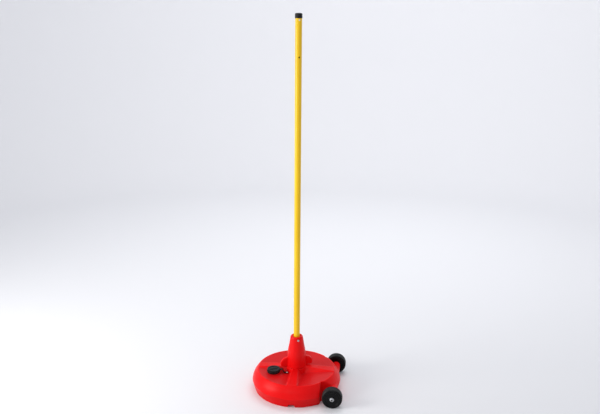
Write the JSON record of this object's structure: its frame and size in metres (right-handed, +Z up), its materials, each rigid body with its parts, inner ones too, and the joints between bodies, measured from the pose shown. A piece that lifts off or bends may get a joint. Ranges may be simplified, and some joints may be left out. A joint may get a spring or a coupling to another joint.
{
  "type": "weave pole",
  "caption": "Upright training pole clamped in a turn-lock socket on a round fillable base with two wheels and a strapped filler cap.",
  "frame": {"origin": "centre of the base's flat underside, on the pole's axis, at floor level", "axes": "+Z up along the pole, +X from the pole towards the wheels, Y along the axle"},
  "size_m": [0.4525, 0.433, 1.775],
  "materials": {
    "base_red": "satin moulded polyethylene",
    "socket_red": "satin moulded plastic",
    "pole_yellow": "extruded tube, satin gloss",
    "black_cap": "satin moulded plastic",
    "hub_black": "fine moulded texture",
    "strap_black": "flexible moulded strap",
    "seal_rubber": "flat rubber",
    "tread": "solid tyre, matt",
    "steel": "zinc plated",
    "brass": "turned",
    "pale_rivet": "pale plastic",
    "bush_nylon": "nylon"
  },
  "bodies": {
    "base": {"base_shell": "base_red", "cap_strap": "strap_black", "strap_rivet": "pale_rivet", "axle_rod": "steel", "axle_bolt_left": "steel", "axle_bolt_right": "steel", "axle_washer_left": "steel", "axle_washer_right": "steel", "wheel_spacer_left": "black_cap", "wheel_spacer_right": "black_cap"},
    "socket_body": {"socket": "socket_red", "clamp_insert": "brass"},
    "clamp": {"clamp_screw": "steel"},
    "pole": {"pole_tube": "pole_yellow", "pole_cap": "black_cap", "pole_rivet": "pale_rivet", "pole_foot_plug": "black_cap"},
    "cap_seal": {"filler_seal": "seal_rubber"},
    "cap": {"filler_cap": "black_cap"},
    "wheel_right": {"wheel_hub_right": "hub_black", "wheel_tyre_right": "tread", "wheel_bush_right": "bush_nylon"},
    "wheel_left": {"wheel_hub_left": "hub_black", "wheel_tyre_left": "tread", "wheel_bush_left": "bush_nylon"}
  },
  "joints": [
    {"name": "socket_twist", "type": "hinge", "parent": "base", "child": "socket_body", "pos_m": [0, 0, 0.115], "axis": [0, 0, 1], "range_deg": [0, 60]},
    {"name": "clamp_screw_turn", "type": "hinge", "parent": "socket_body", "child": "clamp", "pos_m": [0, 0, 0.257], "axis": [0.342, -0.9397, 0], "range_deg": [0, 720]},
    {"name": "pole_lift", "type": "slide", "parent": "socket_body", "child": "pole", "axis": [0, 0, 1], "range_m": [0, 0.09]},
    {"name": "cap_lift", "type": "slide", "parent": "base", "child": "cap_seal", "axis": [0, 0, 1], "range_m": [0, 0.035], "deforming": ["cap_strap"]},
    {"name": "cap_turn", "type": "hinge", "parent": "cap_seal", "child": "cap", "pos_m": [-0.105, -0.056, 0.108], "axis": [0, 0, 1], "range_deg": [0, 540]},
    {"name": "wheel_right_spin", "type": "hinge", "parent": "base", "child": "wheel_right", "pos_m": [0.188, -0.173, 0.0485], "axis": [0, 1, 0], "continuous": true},
    {"name": "wheel_left_spin", "type": "hinge", "parent": "base", "child": "wheel_left", "pos_m": [0.188, 0.173, 0.0485], "axis": [0, 1, 0], "continuous": true}
  ]
}
